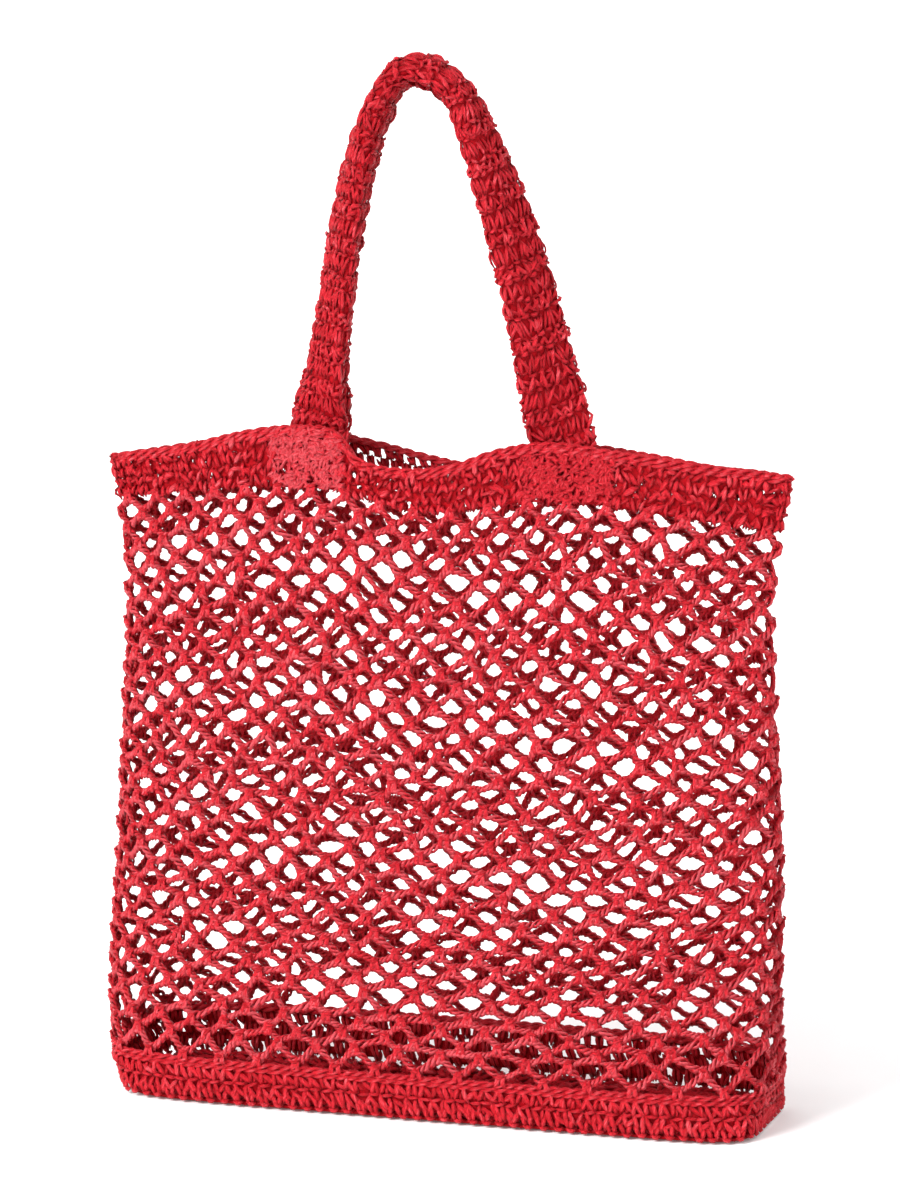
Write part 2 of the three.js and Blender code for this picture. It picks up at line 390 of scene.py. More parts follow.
def band_top(s):
    """Height of the base band's top edge. Along the back it has one more round of stitches."""
    return BAND_TOP + BACK_ROUND * np.clip(-4 * np.sin(2 * math.pi * np.asarray(s)), 0, 1)


class Strands:
    """Many strands of straw, gathered into one mesh."""

    def __init__(self, name):
        self.name = name
        self.points, self.quads, self.fibre, self.tone = [], [], [], []
        self.count = 0

    def add(self, paths, hints, radius, tone, closed, sides=4, flat=1.0):
        """Tubes along paths (strand, step, xyz). Flat is how thick they are along their hint directions,
        as a share of their width across them."""
        strands, steps = paths.shape[:2]
        hints = np.broadcast_to(hints, paths.shape)
        radius = np.broadcast_to(np.asarray(radius, float), (strands, steps))
        if closed:
            tangent = unit(np.roll(paths, -1, axis=1) - np.roll(paths, 1, axis=1))
        else:
            tangent = unit(np.gradient(paths, axis=1))
        wide = unit(np.cross(tangent, hints))
        thin = np.cross(wide, tangent)
        angle = 2 * math.pi * np.arange(sides) / sides
        c, s = np.cos(angle), np.sin(angle)
        r = radius[:, :, None, None]
        ring = paths[:, :, None] + r * (c[:, None] * wide[:, :, None] + flat * s[:, None] * thin[:, :, None])
        steps_long = np.linalg.norm(np.diff(paths, axis=1), axis=2)
        length = np.concatenate([np.zeros((strands, 1)), np.cumsum(steps_long, axis=1)], axis=1)
        seed = RANDOM.uniform(0, STRAW_LENGTH, (strands, 1))
        around = np.broadcast_to(np.stack([c, s], 1), (strands, steps, sides, 2))
        along = np.broadcast_to((length + seed)[:, :, None, None], (strands, steps, sides, 1))
        index = self.count + np.arange(strands * steps * sides).reshape(strands, steps, sides)
        low = index if closed else index[:, :-1]
        high = np.roll(index, -1, axis=1) if closed else index[:, 1:]
        walls = np.stack([low, high, np.roll(high, -1, axis=2), np.roll(low, -1, axis=2)], axis=-1)
        self.quads.append(walls.reshape(-1, 4))
        if not closed:
            for k in range(1, sides - 2, 2):
                self.quads.append(index[:, 0][:, [0, k, k + 1, k + 2]])
                self.quads.append(index[:, -1][:, [k + 2, k + 1, k, 0]])
        self.points.append(ring.reshape(-1, 3))
        self.fibre.append(np.concatenate([around, along], axis=3).reshape(-1, 3))
        tone = np.asarray(tone, float)
        tone = tone.reshape(strands, -1, 1) if tone.size > 1 else tone
        tone = np.broadcast_to(tone, (strands, steps, sides))
        self.tone.append(tone.reshape(-1))
        self.count += strands * steps * sides

    def make(self, material):
        points, quads = np.concatenate(self.points) * MM, np.concatenate(self.quads)
        piece = mesh_piece(self.name, points, quads, material)
        fibre = piece.data.attributes.new("fibre", "FLOAT_VECTOR", "POINT")
        fibre.data.foreach_set("vector", np.concatenate(self.fibre).astype(np.float32).ravel())
        # Tone: each strand's own random tone, with painted shade and painted light added to it
        tone = piece.data.attributes.new("tone", "FLOAT", "POINT")
        tone.data.foreach_set("value", np.concatenate(self.tone).astype(np.float32))
        return piece


def mesh_piece(name, points, quads, material):
    mesh = bpy.data.meshes.new(name)
    mesh.vertices.add(len(points))
    mesh.vertices.foreach_set("co", np.ascontiguousarray(points, np.float32).ravel())
    mesh.loops.add(quads.size)
    mesh.loops.foreach_set("vertex_index", np.ascontiguousarray(quads, np.int32).ravel())
    mesh.polygons.add(len(quads))
    mesh.polygons.foreach_set("loop_start", np.arange(0, quads.size, 4, dtype=np.int32))
    mesh.update(calc_edges=True)
    mesh.shade_smooth()
    mesh.materials.append(material)
    piece = bpy.data.objects.new(name, mesh)
    bpy.context.scene.collection.objects.link(piece)
    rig.ride(piece, "root")
    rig.slot(piece, "straw")
    return piece


RANDOM = np.random.default_rng(11)
# Each strand's creases start somewhere on this length of straw
STRAW_LENGTH = 900
# Steps along a loop, along a leaf and along one turn of a rope
LOOP_STEPS, LEAF_STEPS, ROPE_STEPS = 7, 4, 8
# Loops are thicker on their outer side, and leaves thin out towards their tips
LOOP_START, LOOP_THICK, LOOP_SWELL = 0.3, 0.85, 0.25
LEAF_TIP, LEAF_BLUNTNESS = 0.45, 0.6
# How much darker leaf tips are painted, as painted shade where they sink in, and how far a twisted ply is painted
# lighter where it stands out and darker where it lies inward: painted shade round the twist
TIP_PAINTED_SHADE, PLY_PAINTED_SHADE = 0.5, 1.0
# How a rope's twist wobbles: by how much, how many times round the bag, and how its start shifts it
ROPE_WOBBLES = [(0.4, 13, 1), (0.3, 29, 2)]
# A rope's height as a share of its depth
ROPE_RISE = 0.85
ROPE_TONES = (0.4, 0.7)


def spread(value, count):
    return np.broadcast_to(np.asarray(value, float), (count,))


def near(middle, scatter, count):
    """Random values that scatter about a middle one."""
    return middle + RANDOM.normal(0, scatter, count)


def loops(strands, surface, s, h, reach, slope, depth, out, radius, tone):
    """Closed oval loops through the wall. Each one's long axis lies in the skin, at a slope up from
    the way round, and its short axis goes through the wall."""
    h, reach, slope, depth, out, radius = (
        spread(v, len(s))[:, None] for v in (h, reach, slope, depth, out, radius)
    )
    angle = np.arange(LOOP_STEPS) * 2 * math.pi / LOOP_STEPS + LOOP_START
    along = -reach * np.cos(angle)
    height = h + along * np.sin(slope)
    share = s[:, None] + along * np.cos(slope) / surface.girth(h)
    point, _, up, sideways = surface.at(share, height, out + depth * np.sin(angle))
    plane = np.sin(slope)[..., None] * sideways - np.cos(slope)[..., None] * up
    thick = radius * (LOOP_THICK + LOOP_SWELL * np.sin(angle))
    strands.add(point, plane, thick, tone, closed=True, sides=3, flat=1.2)


def leaves(strands, surface, s, h, length, slope, radius, tone, out=0.0, rise=1.3, bend=0.0, face=1.0):
    """Short strands that lie on the skin like leaves: thick in the middle, their ends sunk into it."""
    count = len(s)
    h, length, slope, radius, out, rise, bend = (
        spread(v, count)[:, None] for v in (h, length, slope, radius, out, rise, bend)
    )
    t = np.linspace(-1, 1, LEAF_STEPS)
    hump = 1 - t**2
    along, aside = 0.5 * length * t, bend * hump
    share = s[:, None] + (along * np.cos(slope) - aside * np.sin(slope)) / surface.girth(h)
    height = h + along * np.sin(slope) + aside * np.cos(slope)
    point, normal, _, _ = surface.at(share, height, out + face * rise * (hump - 0.5))
    # The tips are painted darker: painted shade where they sink into the fabric
    shade = spread(tone, count)[:, None] - TIP_PAINTED_SHADE * (1 - hump)
    thick = radius * (LEAF_TIP + (1 - LEAF_TIP) * hump**LEAF_BLUNTNESS)
    strands.add(point, normal, thick, shade, closed=False, flat=0.8)


def rope(strands, surface, top, drop, out, radius, swing, period, start, share=1.0):
    """Two plies twisted round one another under a band's top edge, for this share of the way round."""
    girth = float(surface.girth(float(np.mean(top(np.linspace(0, 1, 9))))))
    turns = round(girth * share / period)
    steps = turns * ROPE_STEPS
    s = np.arange(steps) / steps * share
    wobble = sum(
        size * np.sin(2 * math.pi * (waves * s + late * start)) for size, waves, late in ROPE_WOBBLES
    )
    point, normal, up, _ = surface.at(s, top(s) - drop, out)
    paths, tones = [], []
    for ply in range(2):
        phase = 2 * math.pi * (turns * s / share + ply / 2 + start) + wobble
        turned = np.cos(phase)[:, None] * normal + ROPE_RISE * np.sin(phase)[:, None] * up
        paths.append(point + swing * turned)
        # Plies painted lighter where they stand out on either face and darker between them: painted shade
        tones.append(RANDOM.uniform(*ROPE_TONES) + PLY_PAINTED_SHADE * np.abs(np.cos(phase)) - 0.5 * PLY_PAINTED_SHADE)
    hint = np.broadcast_to(normal, (2, steps, 3))
    strands.add(np.stack(paths), hint, radius, np.stack(tones), closed=share == 1, flat=0.9)


# The net: rounds of arches, each sewn to the top of the arch below by a short knot. Every round is
# turned by a share of an arch, they crowd a little at the left end, and they sag most to the right of
# the middle.
ARCHES, ROUNDS = 38, 34
ROUND_SHIFT, CROWDING = 0.575, 0.08
SAG, SAG_UP_POWER, SAG_ALONG_POWER = 11, 0.75, 1.6
# The net starts above the base band with a taller round, and its upper rounds follow the rim's edge
NET_FOOT, FIRST_ROUND = 1.5, 1.5
NET_TOP, NET_UNDER_RIM, RIM_PULL = 335, 2, 2.5
NET_MIDDLE = -0.5 * NET_WALL
NET_TIERS = [("net_rounds_low", 0, 12), ("net_rounds_middle", 12, 23), ("net_rounds_high", 23, ROUNDS)]
# An arch: steps along it, its height, how far its top stands out and its feet lie in, and how its tone
# scatters
ARCH_STEPS, ARCH_RISE, ARCH_LIFT, ARCH_TONE = 16, 9, 0.7, 0.22
# A cord is three plies twisted round one another, fuller at its knots
TWISTS_PER_ARCH, STRAND_RADIUS = 3, 1.27
CORD_WIDE, CORD_DEEP = 1.5, 1.0
CORD_FULLNESS, FULLER_AT_KNOTS, RADIUS_BY_FULLNESS = 1.06, 0.2, 0.45
PLY_TONES = (0.35, 0.8)
# What is uneven along a cord or a ply: by how much, and at how many places to an arch
TWIST_UNEVEN, FULLNESS_UNEVEN = (0.6, 2), (0.14, 5)
PLY_STRAY, PLY_TONE_UNEVEN, PLY_RADIUS_UNEVEN = (0.3, 5), (0.15, 6), (0.1, 5)
# A knot is two loops through the wall, which lean together at the top, and a leaf across them. Tones
# are from and to, and the other pairs are a middle value and its scatter.
KNOT_HEIGHT, KNOT_SUNK = 2.6, 0.3
KNOT_STRAY_ROUND, KNOT_STRAY_UP = 0.095, 1.25
KNOT_SIDE, KNOT_LEAN = (1.45, 0.25), (0.22, 0.12)
KNOT_LOOP = dict(reach=3.3, depth=2.3, radius=1.15)
KNOT_LOOP_TONES = (0.4, 1.1)
KNOT_LEAF = dict(length=6.0, radius=1.05, out=NET_MIDDLE + 2.1)
KNOT_LEAF_ALONG, KNOT_LEAF_SLOPE, KNOT_LEAF_UP, KNOT_LEAF_UNEVEN = (0, 0.5), (0.1, 0.3), 0.4, 0.4


def net_knots():
    """Where each round's arches are sewn down: shares round the bag and heights, by round and arch."""
    row = np.arange(ROUNDS + 1)[:, None]
    arch = np.arange(ARCHES)[None, :]
    turn = (arch + ROUND_SHIFT * row) / ARCHES
    loose = np.clip(np.minimum(row, ROUNDS - row) / 2, 0, 1)
    turn = turn + loose * RANDOM.normal(0, KNOT_STRAY_ROUND, turn.shape) / ARCHES
    share = turn - CROWDING * np.sin(2 * math.pi * turn) / (2 * math.pi)
    t = (row + (FIRST_ROUND - 1) * np.minimum(row, 1)) / (ROUNDS + FIRST_ROUND - 1)
    low = band_top(share) + NET_FOOT
    height = low + (NET_TOP - low) * t + (rim_edge(share, "lower") + NET_UNDER_RIM - NET_TOP) * t**RIM_PULL
    half = np.where(share % 1 < 0.5, share % 1, 1 - share % 1)
    sag = SAG * np.sin(math.pi * t**SAG_UP_POWER) * np.sin(math.pi * (2 * half) ** SAG_ALONG_POWER)
    return share, height - sag + loose * RANDOM.normal(0, KNOT_STRAY_UP, share.shape)


def ease(u):
    return u - 0.5 * np.sin(2 * math.pi * u) / (2 * math.pi)


def uneven(amount, per_arch):
    """Random values along one round of the net, so many to an arch, that run into one another."""
    values = RANDOM.normal(0, amount, ARCHES * per_arch)
    places = np.arange(ARCHES * ARCH_STEPS) * per_arch / ARCH_STEPS
    return np.interp(places, np.arange(len(values) + 1), np.append(values, values[0]))


def arches(share, height, r):
    """Shares and heights along one round. Each arch peaks where the next round is sewn on, a little
    to its side."""
    half = np.linspace(0, 1, ARCH_STEPS // 2, endpoint=False)
    valley_s = np.append(share[r], share[r, 0] + 1)
    valley_h = np.append(height[r], height[r, 0])
    peak_s, peak_h = share[r + 1], height[r + 1] - KNOT_HEIGHT
    rise, fall = (peak_h - valley_h[:-1])[:, None], (valley_h[1:] - peak_h)[:, None]
    up_s = valley_s[:-1, None] + (peak_s - valley_s[:-1])[:, None] * half
    down_s = peak_s[:, None] + (valley_s[1:] - peak_s)[:, None] * half
    up_h, down_h = valley_h[:-1, None] + rise * ease(half), peak_h[:, None] + fall * ease(half)
    return np.concatenate([up_s, down_s], axis=1).ravel(), np.concatenate([up_h, down_h], axis=1).ravel()


def cord(strands, s, h):
    """One round's three plies, each tube a little uneven in its path, its tone and its thickness."""
    count = ARCHES * ARCH_STEPS
    turn = 2 * math.pi * (np.arange(count) / ARCH_STEPS)
    point, normal, _, _ = BODY.at(s, h, NET_MIDDLE - ARCH_LIFT * np.cos(turn))
    ahead = unit(np.roll(point, -1, axis=0) - np.roll(point, 1, axis=0))
    across = np.cross(normal, ahead)
    start = RANDOM.uniform(0, 1)
    wander = uneven(*TWIST_UNEVEN)
    fullness = CORD_FULLNESS + FULLER_AT_KNOTS * np.cos(2 * turn) + uneven(*FULLNESS_UNEVEN)
    shade = np.repeat(RANDOM.normal(0, ARCH_TONE, ARCHES), ARCH_STEPS)
    paths, tones, widths = [], [], []
    for k in range(3):
        phase = TWISTS_PER_ARCH * turn + 2 * math.pi * (k / 3 + start) + wander
        swing = CORD_WIDE * np.sin(phase)[:, None] * across + CORD_DEEP * np.cos(phase)[:, None] * normal
        paths.append(point + swing * fullness[:, None] + uneven(*PLY_STRAY)[:, None] * across)
        # Each ply painted lighter where it lies outermost and darker where it lies inward, as painted shade, over its
        # own and its arch's random tone
        tone = RANDOM.uniform(*PLY_TONES) + PLY_PAINTED_SHADE * np.cos(phase) + shade
        tones.append(tone + uneven(*PLY_TONE_UNEVEN))
        swell = 1 - RADIUS_BY_FULLNESS + RADIUS_BY_FULLNESS * fullness
        widths.append(STRAND_RADIUS * (swell + uneven(*PLY_RADIUS_UNEVEN)))
    hint = np.broadcast_to(normal, (3, count, 3))
    strands.add(np.stack(paths), hint, np.stack(widths), np.stack(tones), closed=True, sides=3, flat=0.8)


def knots(share, height):
    strands = Strands("net_knots")
    for r in range(ROUNDS + 1):
        girth = BODY.girth(height[r])
        for side in (-1, 1):
            s = share[r] + side * near(*KNOT_SIDE, ARCHES) / girth
            slope = 0.5 * math.pi + side * near(*KNOT_LEAN, ARCHES)
            loops(
                strands, BODY, s, height[r] - 0.5 * KNOT_HEIGHT - KNOT_SUNK, slope=slope, out=NET_MIDDLE,
                tone=RANDOM.uniform(*KNOT_LOOP_TONES, ARCHES), **KNOT_LOOP,
            )
        s = share[r] + near(*KNOT_LEAF_ALONG, ARCHES) / girth
        h = near(height[r] + KNOT_LEAF_UP, KNOT_LEAF_UNEVEN, ARCHES)
        slope, tone = near(*KNOT_LEAF_SLOPE, ARCHES), RANDOM.uniform(0, 1, ARCHES)
        leaves(strands, BODY, s, h, slope=slope, tone=tone, **KNOT_LEAF)
    return strands.make(STRAW)


def net():
    """The rounds' cords in three tiers, and their knots."""
    share, height = net_knots()
    pieces = []
    for name, first, last in NET_TIERS:
        strands = Strands(name)
        for r in range(first, last):
            cord(strands, *arches(share, height, r))
        pieces.append(strands.make(STRAW))
    return pieces + [knots(share, height)]


# Dense fabric: rows of stitches between two edges. Each stitch has a few strands. A strand lies at a
# shift across the stitch and a share up the row, is so many rows and stitches long, and slopes by
# degrees. It bends and lifts by millimetres. Thick and loose are shares of the fabric's own.
STITCH_COLUMNS = "shift up tall wide slope bend lift thick loose"
STITCHES = {
    "fan": table(
        STITCH_COLUMNS,
        (-0.21, 0.5, 1.2, 0.0, 112, 0.3, 0.1, 1.0, 1.0),
        (0.21, 0.5, 1.2, 0.0, 68, -0.3, 0.1, 1.0, 1.0),
        (0.5, 0.4, 0.9, 0.0, 84, 0.0, -1.2, 0.9, 1.0),
    ),
    "cross": table(
        STITCH_COLUMNS,
        (-0.22, 0.45, 1.15, 0.0, 58, 0.3, 0.2, 1.05, 1.8),
        (0.26, 0.5, 1.15, 0.0, 119, -0.3, 0.0, 1.05, 1.8),
        (0.5, 0.4, 0.9, 0.0, 84, 0.0, -1.0, 0.95, 1.5),
    ),
    "bar": table(
        STITCH_COLUMNS,
        (-0.24, 0.36, 0.85, 0.0, 50, 0.3, 0.1, 1.0, 1.4),
        (0.24, 0.36, 0.95, 0.0, 124, -0.2, 0.0, 1.0, 1.4),
        (0.0, 0.8, 0.0, 0.9, 30, 0.4, 0.4, 1.1, 2.0),
    ),
    "post": table(
        STITCH_COLUMNS,
        (-0.19, 0.48, 1.1, 0.0, 101, 0.3, 0.0, 1.0, 1.2),
        (0.19, 0.48, 1.1, 0.0, 79, -0.3, 0.0, 1.0, 1.2),
        (0.0, 0.94, 0.0, 0.9, 8, 0.8, 0.2, 1.0, 1.5),
        (0.5, 0.45, 0.75, 0.0, 70, 0.3, -0.8, 1.0, 1.6),
    ),
    "tuft": table(
        STITCH_COLUMNS,
        (-0.24, 0.38, 0.9, 0.0, 62, 0.4, 0.1, 1.05, 1.6),
        (0.26, 0.46, 0.9, 0.0, 121, -0.4, 0.1, 1.05, 1.6),
        (0.02, 0.74, 0.0, 1.0, 24, 0.6, 0.2, 1.05, 1.6),
        (0.5, 0.5, 0.8, 0.0, 88, 0.2, -0.7, 1.0, 1.6),
    ),
    "open": table(
        STITCH_COLUMNS,
        (-0.15, 0.5, 1.15, 0.0, 96, 0.2, 0.0, 0.8, 0.5),
        (0.15, 0.5, 1.15, 0.0, 84, -0.2, 0.0, 0.8, 0.5),
    ),
}


# How far a strand strays: millimetres across, up, out and of bend, radians of slope, shares of its size
# and thickness, and tone
STRAY = dict(across=0.2, up=0.35, lift=0.25, bend=0.25, slope=0.17, size=0.1, thick=0.12, tone=0.25)
# How far a whole stitch strays, by shares of a stitch and radians, and the slow wave in its lean
STITCH_STRAY, LEAN_STRAY = 0.07, 0.08
LEAN_WAVE, LEAN_WAVES, LEAN_ROW_SHIFT = 0.25, 3, 0.31
# Stitches' own tones from and to, and how much lighter a strand is painted for each millimetre it lies out, darker
# where sunk: painted shade
STITCH_TONES, LIFT_PAINTED_SHADE = (0.1, 0.9), 0.35


def edge_of(edge, s):
    return edge(s) if callable(edge) else np.full(np.shape(s), float(edge))


def fabric(
    strands, surface, rows, low, high, total, out, radius,
    face=1.0, lean=0.0, kinds=("fan", "bar"), rise=1.6, skip=None, wild=1.0,
):
    """Rows of stitches, which lean and wander a little. Wild says how unevenly they are worked."""
    for row in range(rows):
        s = (np.arange(total) + 0.5 * (row % 2) + wild * RANDOM.normal(0, STITCH_STRAY, total)) / total
        if skip is not None:
            s = s[~skip(s)]
        count = len(s)
        bottom, top = edge_of(low, s), edge_of(high, s)
        tall = (top - bottom) / rows
        girth = surface.girth(bottom + tall * (row + 0.5))
        pitch = girth / total
        phase = 2 * math.pi * (LEAN_WAVES * s + LEAN_ROW_SHIFT * row)
        wave = lean + LEAN_WAVE * np.sin(phase) + wild * RANDOM.normal(0, LEAN_STRAY, count)
        tone = RANDOM.uniform(*STITCH_TONES, count)
        for part in STITCHES[kinds[row % len(kinds)]]:
            jitter = wild * part["loose"]
            size = part["tall"] * tall + part["wide"] * pitch
            size = size * (1 + STRAY["size"] * jitter * RANDOM.uniform(-1, 1, count))
            turn = wave if part["wide"] else -wave
            lift = part["lift"] + jitter * RANDOM.normal(0, STRAY["lift"], count)
            across = part["shift"] * pitch + jitter * RANDOM.normal(0, STRAY["across"], count)
            h = bottom + tall * (row + part["up"]) + jitter * RANDOM.normal(0, STRAY["up"], count)
            slope = math.radians(part["slope"]) + turn + jitter * RANDOM.normal(0, STRAY["slope"], count)
            thick = radius * part["thick"] * (1 + STRAY["thick"] * jitter * RANDOM.uniform(-1, 1, count))
            # Strands lying further out are painted lighter and sunk ones darker, as painted shade, over a random tone
            shade = tone + LIFT_PAINTED_SHADE * lift + RANDOM.uniform(-STRAY["tone"], STRAY["tone"], count)
            bend = part["bend"] + RANDOM.normal(0, STRAY["bend"], count)
            leaves(
                strands, surface, s + across / girth, h, size, slope, thick, shade, out + face * lift,
                rise, bend, face,
            )


def core_sheet(name, surface, low, high, total, rows, out, thick, gaps):
    """A thin closed sheet inside a band. Between its stitches are pinholes, by chance: gaps holds how
    likely each one is at the front and at the back."""
    columns, levels = 2 * total, 2 * rows
    s = (np.arange(columns) + 0.5) / columns
    t = np.linspace(0, 1, levels + 1)[:, None]
    h = edge_of(low, s)[None] * (1 - t) + edge_of(high, s)[None] * t
    layers = []
    for off in (0.5 * thick, -0.5 * thick):
        point, _, _, _ = surface.at(np.broadcast_to(s, h.shape), h, out + off)
        layers.append(point)
    points = np.concatenate([layer.reshape(-1, 3) for layer in layers])
    index = np.arange((levels + 1) * columns).reshape(levels + 1, columns)
    between = (np.arange(columns)[None] + np.arange(levels)[:, None] // 2) % 2 == 0
    chance = np.where(s < 0.5, gaps[0], gaps[1])[None] * between
    keep = RANDOM.uniform(0, 1, (levels, columns)) >= chance
    a, b = index[:-1], np.roll(index, -1, axis=1)[:-1]
    c, d = np.roll(index, -1, axis=1)[1:], index[1:]
    shell = (levels + 1) * columns
    quads = [np.stack([a, b, c, d], -1)[keep], np.stack([d, c, b, a], -1)[keep] + shell]
    full = np.pad(keep, ((1, 1), (0, 0)))
    below, above = full[1:-1] & ~full[:-2], full[1:-1] & ~full[2:]
    left, right = keep & ~np.roll(keep, 1, axis=1), keep & ~np.roll(keep, -1, axis=1)
    for mask, p, q in ((below, b, a), (above, d, c), (left, a, d), (right, c, b)):
        quads.append(np.stack([p[mask], q[mask], q[mask] + shell, p[mask] + shell], -1))
    # The sheet is painted dark as shade, seen through the gaps between the stitches
    return mesh_piece(name, points * MM, np.concatenate(quads), SHADED_CORE_STRAW)


# The two patches on the front of the rim, where the handle's ends are sewn in. The left one's tone is painted light,
# pale up to the highlight colour, for the light that falls on it.
LEFT_PATCH = dict(x=-73.5, width=42, tone=1.35)
RIGHT_PATCH = dict(x=73.5, width=52, tone=0.6)
# The rim's stitches run this far under a patch's ends. It starts above the rim's lower edge and is
# shorter than the rim.
PATCH_OVERLAP, PATCH_FOOT, PATCH_SHORTER = 3, 2, 5
# Their matted strands: lengths and radii from and to, slope and depth as a middle and its scatter
PATCH_STRANDS = 560
FELT_LENGTHS, FELT_RADII = (3.5, 7.5), (0.7, 1.1)
FELT_SLOPE, FELT_OUT, FELT_TONE_SCATTER, FELT_RISE = (0.8, 0.9), (-1.1, 0.2), 0.15, 0.8


def patch_share(x):
    """Share of the way round at which the front of the rim has this x."""
    shares = np.linspace(0.02, 0.48, 400)
    return float(np.interp(x, BODY.sample(BODY.grid, shares, RIM_MIDDLE)[:, 0], shares))


def in_patch(s):
    s = s % 1
    inside = np.zeros(np.shape(s), bool)
    for patch in (LEFT_PATCH, RIGHT_PATCH):
        half = 0.5 * patch["width"] - PATCH_OVERLAP
        inside |= (s > patch_share(patch["x"] - half)) & (s < patch_share(patch["x"] + half))
    return inside


# Stitches in a round of each band. Cloths are layers of stitches on it, by how far out they lie, and
# ropes are the twisted edges, by how far they lie under the band's top edge.
RIM_STITCHES, BAND_STITCHES, PANEL_STITCHES, LOWEST_LOOPS = 122, 126, 72, 112
# Rows in the rim's cloths and its sheet, and in the base band's sheet
RIM_ROWS, BAND_CORE_ROWS = 4, 3
# How far the sheet and the cloths keep from a band's lower and upper edges. The base's lower two are
# heights above the floor.
RIM_CORE_KEEPS, RIM_CLOTH_KEEPS = (1.5, 4), (0.5, 3.5)
BAND_CORE_KEEPS, BAND_CLOTH_KEEPS = (6.0, 2), (5.5, 4.5)
CORE_THICK = 0.8
RIM_GAPS, BAND_GAPS = (0.3, 0.9), (0.1, 0.5)
RIM_CLOTHS = [
    dict(out=-1.3, radius=1.25, kinds=("fan", "cross"), wild=1.9, skip=lambda s: in_patch(s) | (s >= 0.5)),
    dict(out=-1.5, radius=1.25, kinds=("open",), skip=lambda s: s < 0.5),
    dict(out=-3.7, radius=1.25, kinds=("open",), face=-1.0, lean=0.35),
]
RIM_ROPES = [
    dict(drop=2.2, out=-2.1, radius=1.15, swing=1.3, period=14.5, start=0.0),
    dict(drop=4.5, out=-1.3, radius=1.05, swing=1.2, period=13.5, start=0.3, share=0.5),
    dict(drop=2.6, out=-3.9, radius=0.95, swing=1.0, period=14.0, start=0.6),
]
BAND_CLOTHS = [
    dict(rows=2, out=-1.2, radius=1.45, kinds=("fan",), lean=-0.08, wild=1.3, skip=lambda s: s >= 0.5),
    dict(rows=3, out=-1.4, radius=1.35, kinds=("open",), lean=0.2, skip=lambda s: s < 0.5),
    dict(rows=3, out=-3.7, radius=1.3, kinds=("open",), face=-1.0),
]
BAND_ROPES = [
    dict(drop=2.3, out=-1.4, radius=1.05, swing=1.15, period=13.5, start=0.0),
    dict(drop=4.9, out=-0.9, radius=1.0, swing=0.9, period=13.0, start=0.5),
    dict(drop=3.3, out=-3.8, radius=1.1, swing=1.1, period=14.0, start=0.0),
]
# Leaves on the base band beside its cloths: bars of chain between the rounds, then the two legs of each
# of the lowest loops. Heights and slopes are a middle and its scatter.
LEG = dict(count=LOWEST_LOOPS, stray=0.05, h=(6.2, 0.3), length=7.2, radius=1.4, out=-0.9)
BAND_LEAVES = [
    dict(
        count=BAND_STITCHES, shift=-0.5, stray=0.08, h=(13.9, 0.35), slope=(0.12, 0.14), length=8.0,
        radius=1.05, out=-0.7,
    ),
    dict(LEG, shift=-0.21, slope=(1.85, 0.12)),
    dict(LEG, shift=0.21, slope=(1.29, 0.12)),
]
# The feet of the lowest loops, which bow down towards the floor
FEET = dict(length=5.4, radius=1.35, out=-1.0, bend=-1.1)
FEET_STRAY, FEET_HEIGHT, FEET_UNEVEN, FEET_SLOPE = 0.05, 3.4, (-0.1, 0.5), (0, 0.06)
BAND_TONES = (0.2, 1)


def felted(strands, patch):
    """The matted straw of a rim patch, where a handle's end is sewn in behind it."""
    middle, span = patch_share(patch["x"]), patch["width"] / float(BODY.girth(RIM_MIDDLE))
    count = PATCH_STRANDS
    s = middle + span * RANDOM.uniform(-0.5, 0.5, count)
    t = RANDOM.uniform(0, 1, count)
    low, high = rim_edge(s, "lower"), rim_edge(s, "upper")
    h = low + (high - low - PATCH_SHORTER) * t + PATCH_FOOT
    length, slope = RANDOM.uniform(*FELT_LENGTHS, count), near(*FELT_SLOPE, count)
    # A patch's tone holds painted light: the left one is painted pale up to the highlight colour
    radius, tone = RANDOM.uniform(*FELT_RADII, count), near(patch["tone"], FELT_TONE_SCATTER, count)
    leaves(strands, BODY, s, h, length, slope, radius, tone, near(*FELT_OUT, count), rise=FELT_RISE)


def rim():
    def top(s):
        return rim_edge(s, "upper")

    def foot(s):
        return rim_edge(s, "lower")

    def edges(keeps):
        return dict(low=lambda s: foot(s) + keeps[0], high=lambda s: top(s) - keeps[1], total=RIM_STITCHES)

    core = core_sheet(
        "rim_core", BODY, rows=RIM_ROWS, out=-0.5 * RIM_WALL, thick=CORE_THICK, gaps=RIM_GAPS,
        **edges(RIM_CORE_KEEPS),
    )
    strands = Strands("rim_stitches")
    for cloth in RIM_CLOTHS:
        fabric(strands, BODY, rows=RIM_ROWS, **edges(RIM_CLOTH_KEEPS), **cloth)
    edge = Strands("rim_edge")
    for twist in RIM_ROPES:
        rope(edge, BODY, top, **twist)
    for patch in (LEFT_PATCH, RIGHT_PATCH):
        felted(edge, patch)
    return core, strands.make(STRAW), edge.make(STRAW)


def band_leaves(strands):
    for row in BAND_LEAVES:
        count = row["count"]
        s = (np.arange(count) + 0.5 + row["shift"] + RANDOM.normal(0, row["stray"], count)) / count
        h, slope = near(*row["h"], count), near(*row["slope"], count)
        tone = RANDOM.uniform(*BAND_TONES, count)
        leaves(strands, BODY, s, h, row["length"], slope, row["radius"], tone, row["out"])
    count = LOWEST_LOOPS
    s = (np.arange(count) + 0.5 + RANDOM.normal(0, FEET_STRAY, count)) / count
    h, slope = FEET_HEIGHT + RANDOM.uniform(*FEET_UNEVEN, count), near(*FEET_SLOPE, count)
    leaves(strands, BODY, s, h, slope=slope, tone=RANDOM.uniform(*BAND_TONES, count), **FEET)


